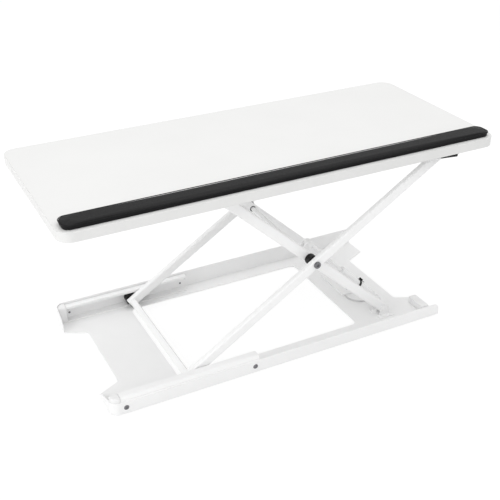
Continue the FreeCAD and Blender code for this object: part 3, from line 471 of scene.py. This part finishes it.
def foot_tree():
    """A rubber disc with two grip rings on its face."""
    tree, given = begun_tree("ringed_foot", ["Foot Radius", "Foot Height", "Ring Radius"])
    radius, ring = given["Foot Radius"], given["Ring Radius"]
    face = add(tree, "ShaderNodeMath", {0: given["Foot Height"], 1: ring},
               operation="SUBTRACT").outputs[0]
    parts = [lifted(tree, rod(tree, radius, face, FOOT_SIDES), scaled(tree, face, 0.5))]
    for share in RING_SHARES:
        circle = add(tree, "GeometryNodeCurvePrimitiveCircle",
                     {"Resolution": FOOT_SIDES, "Radius": scaled(tree, radius, share)})
        parts.append(lifted(tree, swept(tree, circle.outputs[0], ring), face))
    whole = add(tree, "GeometryNodeJoinGeometry", {"Geometry": parts})
    return end_tree(tree, given, whole.outputs[0])


def roller_tree():
    """A moulded roller: tread, thin web with a ring of holes, and hub."""
    tree, given = begun_tree("webbed_roller", ["Tread Radius", "Bore Radius", "Width"])
    radius, bore, width = given["Tread Radius"], given["Bore Radius"], given["Width"]
    deep = scaled(tree, width, 1.5)
    tread = combined(tree, "DIFFERENCE", rod(tree, radius, width),
                     [rod(tree, scaled(tree, radius, TREAD_INSIDE), deep)])
    ring = add(tree, "GeometryNodeMeshCircle",
               {"Vertices": 6, "Radius": scaled(tree, radius, HOLE_CIRCLE)})
    drill = rod(tree, scaled(tree, radius, HOLE_RADIUS), deep, HOLE_SIDES)
    drills = add(tree, "GeometryNodeInstanceOnPoints",
                 {"Points": ring.outputs[0], "Instance": drill})
    holes = add(tree, "GeometryNodeRealizeInstances", {"Geometry": drills.outputs[0]})
    disc = rod(tree, scaled(tree, radius, WEB_RADIUS), scaled(tree, width, WEB_WIDTH))
    web = combined(tree, "DIFFERENCE", disc, [holes.outputs[0]])
    hub = rod(tree, scaled(tree, bore, HUB_RADIUS), scaled(tree, width, HUB_WIDTH))
    whole = combined(tree, "UNION", tread, [web, hub])
    return end_tree(tree, given, combined(tree, "DIFFERENCE", whole, [rod(tree, bore, deep)]))


def welt_tree():
    """A cord sewn round a pad: a rounded rectangle in the point's plane."""
    tree, given = begun_tree("welt", ["Length", "Depth", "Corner", "Cord Radius"])
    loop = add(tree, "GeometryNodeCurvePrimitiveQuadrilateral",
               {"Width": given["Length"], "Height": given["Depth"]})
    rounded = add(tree, "GeometryNodeFilletCurve",
                  {"Curve": loop.outputs[0], "Radius": given["Corner"], "Count": 10},
                  mode="POLY")
    return end_tree(tree, given, swept(tree, rounded.outputs[0], given["Cord Radius"]))


def grown(name, tree, node, points, facings, sizes, stands_in=True):
    """The tree's shape on the points, as a plain mesh that rides with the CAD node's body."""
    mesh = bpy.data.meshes.new(name + "_points")
    mesh.from_pydata(points, [], [])
    directions = mesh.attributes.new("facing", "FLOAT_VECTOR", "POINT")
    for spot, facing in zip(directions.data, facings):
        spot.vector = facing
    holder = linked(name + "_points", mesh)
    modifier = holder.modifiers.new("shape", "NODES")
    modifier.node_group = tree
    wanted = {label: size if label == "Turns" else size * MM for label, size in sizes.items()}
    wanted["Material"] = MATERIALS[SLOT_OF[node]]
    for socket in tree.interface.items_tree:
        if socket.in_out == "INPUT" and socket.name in wanted:
            modifier[socket.identifier] = wanted[socket.name]
    shape = plain_mesh(holder)
    bpy.data.objects.remove(holder)
    shape.shade_smooth()
    shape.set_sharp_from_angle(angle=SHADING_ANGLE)
    piece = linked(name, shape)
    set_up(piece, node)
    if stands_in:
        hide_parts(node)


def islands(node):
    """Lowest and highest corner of every separate solid of a node."""
    work = bmesh.new()
    work.from_mesh(merged_copy(node))
    seen, found = set(), []
    for first in work.verts:
        if first in seen:
            continue
        reached, fresh = {first}, [first]
        while fresh:
            corner = fresh.pop()
            near = {side.other_vert(corner) for side in corner.link_edges} - reached
            reached |= near
            fresh += near
        seen |= reached
        found.append([Vector([pick(corner.co[axis] for corner in reached) for axis in range(3)])
                      for pick in (min, max)])
    work.free()
    return found


UP, DOWN = Vector((0, 0, 1)), Vector((0, 0, -1))
SCREWS = screw_tree()
SCREW_HEAD_HEIGHT = 1.8     # mm, like the sizes below
SCREW_SHANK_RADIUS = 2.5
SCREW_RECESS_WIDTH = 1.1
FOOT_RING_RADIUS = 0.5
SPRING_WIRE_RADIUS = 0.5
SPRING_TURNS = 5
ROLLERS = ("lower_near_roller", "lower_rear_roller", "upper_near_roller", "upper_rear_roller")
ROLLER_BORE = 4.05
STRAP_RADIUS = 10.6         # from the cylinder's axis to under the buckle
STRAP_EDGE_RADIUS = 0.4
BUCKLE = Vector((6, 7, 4))
TAIL = Vector((13, 3.5, 1.4))


def dressed_screws(node, facing_of):
    """Cross-recess screws in the places of the node's plain ones, which are all of one size."""
    boxes = islands(node)
    middles = [(low + high) / 2 for low, high in boxes]
    facings = [facing_of(middle) for middle in middles]
    size = boxes[0][1] - boxes[0][0]
    length = abs(size.dot(facings[0])) / MM
    to_seat = (length / 2 - SCREW_HEAD_HEIGHT) * MM
    grown(node + "_dressed", SCREWS, node,
          [middle + facing * to_seat for middle, facing in zip(middles, facings)], facings,
          {"Head Radius": max(size) / 2 / MM, "Head Height": SCREW_HEAD_HEIGHT,
           "Shank Radius": SCREW_SHANK_RADIUS, "Shank Length": length - SCREW_HEAD_HEIGHT,
           "Recess Width": SCREW_RECESS_WIDTH})


dressed_screws("rail_screws", lambda place: Vector((0, math.copysign(1, place.y), 0)))
dressed_screws("pivot_bracket_screws", lambda place: UP)
dressed_screws("anchor_plate_bolt", lambda place: UP)
dressed_screws("clevis_screws", lambda place: DOWN)
dressed_screws("top_rail_screws", lambda place: DOWN)


def dressed_feet():
    boxes = islands("rubber_feet")
    size = boxes[0][1] - boxes[0][0]
    grown("ringed_feet", foot_tree(), "rubber_feet",
          [((low.x + high.x) / 2, (low.y + high.y) / 2, high.z) for low, high in boxes],
          [DOWN] * len(boxes),
          {"Foot Radius": size.x / 2 / MM, "Foot Height": size.z / MM,
           "Ring Radius": FOOT_RING_RADIUS})


def coiled_lever_spring():
    low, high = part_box("lever_return_spring")
    size = high - low
    wire = SPRING_WIRE_RADIUS
    grown("lever_coil", coil_tree(), "lever_return_spring",
          [(low.x + wire * MM, (low.y + high.y) / 2, (low.z + high.z) / 2)],
          [Vector((1, 0, 0))],
          {"Coil Radius": size.z / 2 / MM - wire, "Wire Radius": wire, "Turns": SPRING_TURNS,
           "Length": size.x / MM - wire * 2})


def dressed_rollers():
    tree = roller_tree()
    for node in ROLLERS:
        low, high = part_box(node)
        size = high - low
        grown(node + "_webbed", tree, node, [(low + high) / 2], [Vector((0, 1, 0))],
              {"Tread Radius": size.z / 2 / MM, "Bore Radius": ROLLER_BORE,
               "Width": size.y / MM})


def strap_tail():
    """The strap's cut end and its small buckle, standing off the cylinder's upper side."""
    low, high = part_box("cable_strap")
    foot_low, foot_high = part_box("spring_foot_pin")
    along = (foot_low + foot_high - low - high).normalized()
    away = Vector((-along.z, 0, along.x))
    middle = (low + high) / 2 + away * STRAP_RADIUS * MM
    turn = Matrix((along, away.cross(along), away)).transposed()
    work = bmesh.new()
    for size, shift in ((BUCKLE, Vector((0, 0, BUCKLE.z / 2))),
                        (TAIL, Vector((TAIL.x / 2, 0, TAIL.z / 2)))):
        for point in bmesh.ops.create_cube(work, size=1)["verts"]:
            point.co = middle + turn @ ((point.co * size + shift) * MM)
    mesh = bpy.data.meshes.new("strap_tail")
    work.to_mesh(mesh)
    work.free()
    piece = linked("strap_tail", mesh)
    rounded_edges(piece, STRAP_EDGE_RADIUS)
    set_up(piece, "cable_strap")


dressed_feet()
coiled_lever_spring()
dressed_rollers()
strap_tail()


# ---------------------------------------------------------------- wrist rest
PAD_INSET = 1.4             # mm that the pad starts inside its solid, and swells by at most
PAD_CORNER = 16             # mm
PAD_CORNER_SEGMENTS = 10
PAD_VOXEL = 2.5             # mm
PAD_STEPS = 20
PAD_PRESSURE = 4
WELT_RADIUS = 0.8           # mm
WELT_DROP = 2.6             # mm, from the pad's top


def rounded_slab(name, low, high, corner):
    """A flat slab with rounded corners in plan, as a closed mesh."""
    work = bmesh.new()
    bmesh.ops.create_cube(work, size=1)
    middle, size = (low + high) / 2, high - low
    for point in work.verts:
        point.co = middle + point.co * size
    upright = [edge for edge in work.edges
               if abs((edge.verts[0].co - edge.verts[1].co).normalized().z) > 0.9]
    bmesh.ops.bevel(work, geom=upright, offset=corner, segments=PAD_CORNER_SEGMENTS,
                    profile=0.5, affect="EDGES")
    mesh = bpy.data.meshes.new(name)
    work.to_mesh(mesh)
    work.free()
    return mesh


def evenly_meshed(piece):
    """The piece covered with even faces."""
    remesh = piece.modifiers.new("even cloth", "REMESH")
    remesh.mode = "VOXEL"
    remesh.voxel_size = PAD_VOXEL * MM
    piece.data = plain_mesh(piece)


def swollen(piece, floor_level):
    """The piece blown up a little as cloth, held where it is glued down."""
    start = [point.co.copy() for point in piece.data.vertices]
    held = piece.vertex_groups.new(name="glued")
    held.add([index for index, place in enumerate(start)
              if place.z < floor_level + PAD_VOXEL * MM], 1.0, "REPLACE")
    cloth = piece.modifiers.new("cloth", "CLOTH")
    cloth.settings.vertex_group_mass = "glued"
    cloth.settings.use_pressure = True
    cloth.settings.uniform_pressure_force = PAD_PRESSURE
    cloth.settings.effector_weights.gravity = 0
    cloth.point_cache.frame_start = 1
    cloth.point_cache.frame_end = PAD_STEPS
    for step in range(1, PAD_STEPS + 1):
        scene.frame_set(step)
    settled = plain_mesh(piece)
    scene.frame_set(1)
    for point, before, after in zip(piece.data.vertices, start, settled.vertices):
        shift = after.co - before
        if shift.length > PAD_INSET * MM:
            shift *= PAD_INSET * MM / shift.length
        point.co = before + shift
    bpy.data.meshes.remove(settled)


def make_wrist_rest():
    low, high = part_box("wrist_rest")
    inset = PAD_INSET * MM
    start = rounded_slab("wrist_pad", low + Vector((inset, inset, 0)),
                         high - Vector((inset, inset, inset)), PAD_CORNER * MM - inset)
    piece = linked("wrist_pad", start)
    evenly_meshed(piece)
    swollen(piece, low.z)
    piece.data.shade_smooth()
    smooth = piece.modifiers.new("smooth cover", "SUBSURF")
    smooth.levels = 1
    smooth.render_levels = 1
    set_up(piece, "wrist_rest")
    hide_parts("wrist_rest")


def sew_welt():
    low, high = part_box("wrist_rest")
    middle, size = (low + high) / 2, high - low
    grown("wrist_pad_welt", welt_tree(), "wrist_rest",
          [(middle.x, middle.y, high.z - WELT_DROP * MM)], [UP],
          {"Length": size.x / MM - WELT_RADIUS * 2, "Depth": size.y / MM - WELT_RADIUS * 2,
           "Corner": PAD_CORNER - WELT_RADIUS, "Cord Radius": WELT_RADIUS}, stands_in=False)


make_wrist_rest()
sew_welt()

for node, shown in NODES.items():
    shown.data.materials.clear()
    shown.data.materials.append(MATERIALS[SLOT_OF[node]])


# ---------------------------------------------------------------- stage
FLOOR_HALF = 8
FLOOR_GLOW = 0.82
WORLD_STRENGTH = 0.80
LAMPS = (                   # name, place, aim, width, watts
    ("key", (-1.2, -2.6, 2.6), (0, 0, 0.2), 2.2, 22),
    ("left", (-3.0, -0.4, 1.7), (0, 0, 0.1), 2.0, 26),
    ("top", (0.6, 0.4, 3.2), (0, 0, 0.2), 2.4, 26),
)


def camera_or(tree, other_ray):
    """1 where the ray comes from the camera or is of the other kind, else 0."""
    ray = add(tree, "ShaderNodeLightPath")
    return add(tree, "ShaderNodeMath",
               {0: ray.outputs["Is Camera Ray"], 1: ray.outputs[other_ray]},
               operation="MAXIMUM").outputs[0]


def floor_finish():
    """A white sweep: seen by the camera as near white with a faint shadow of the object."""
    made = bpy.data.materials.new("white_sweep")
    made.use_nodes = True
    tree = made.node_tree
    tree.nodes.clear()
    plain = add(tree, "ShaderNodeBsdfDiffuse", {"Color": linear("#f2f2f2")})
    shadowed = add(tree, "ShaderNodeBsdfDiffuse", {"Color": linear("#808080")})
    glow = add(tree, "ShaderNodeEmission", {"Strength": FLOOR_GLOW})
    seen = add(tree, "ShaderNodeAddShader", {0: shadowed.outputs[0], 1: glow.outputs[0]})
    mix = add(tree, "ShaderNodeMixShader", {0: camera_or(tree, "Is Glossy Ray"),
                                            1: plain.outputs[0], 2: seen.outputs[0]})
    add(tree, "ShaderNodeOutputMaterial", {"Surface": mix.outputs[0]})
    return made


def make_floor():
    mesh = bpy.data.meshes.new("floor")
    corners = [(-FLOOR_HALF, -FLOOR_HALF, 0), (FLOOR_HALF, -FLOOR_HALF, 0),
               (FLOOR_HALF, FLOOR_HALF, 0), (-FLOOR_HALF, FLOOR_HALF, 0)]
    mesh.from_pydata(corners, [], [(0, 1, 2, 3)])
    floor = linked("floor", mesh)
    mesh.materials.append(floor_finish())


def make_world():
    """A white studio: plain white to the camera, a little dimmer as a source of light."""
    world = bpy.data.worlds.new("studio")
    scene.world = world
    world.use_nodes = True
    tree = world.node_tree
    tree.nodes.clear()
    level = add(tree, "ShaderNodeMapRange",
                {"Value": camera_or(tree, "Is Transmission Ray"), "To Min": WORLD_STRENGTH})
    glow = add(tree, "ShaderNodeBackground",
               {"Color": linear("#ffffff"), "Strength": level.outputs[0]})
    add(tree, "ShaderNodeOutputWorld", {"Surface": glow.outputs[0]})


def make_lamp(name, place, aim, size, power):
    lamp = bpy.data.lights.new(name, "AREA")
    lamp.shape = "DISK"
    lamp.size = size
    lamp.energy = power
    made = bpy.data.objects.new(name, lamp)
    made.location = place
    made.rotation_euler = (Vector(aim) - Vector(place)).to_track_quat("-Z", "Y").to_euler()
    scene.collection.objects.link(made)


make_floor()
make_world()
for lamp_settings in LAMPS:
    make_lamp(*lamp_settings)
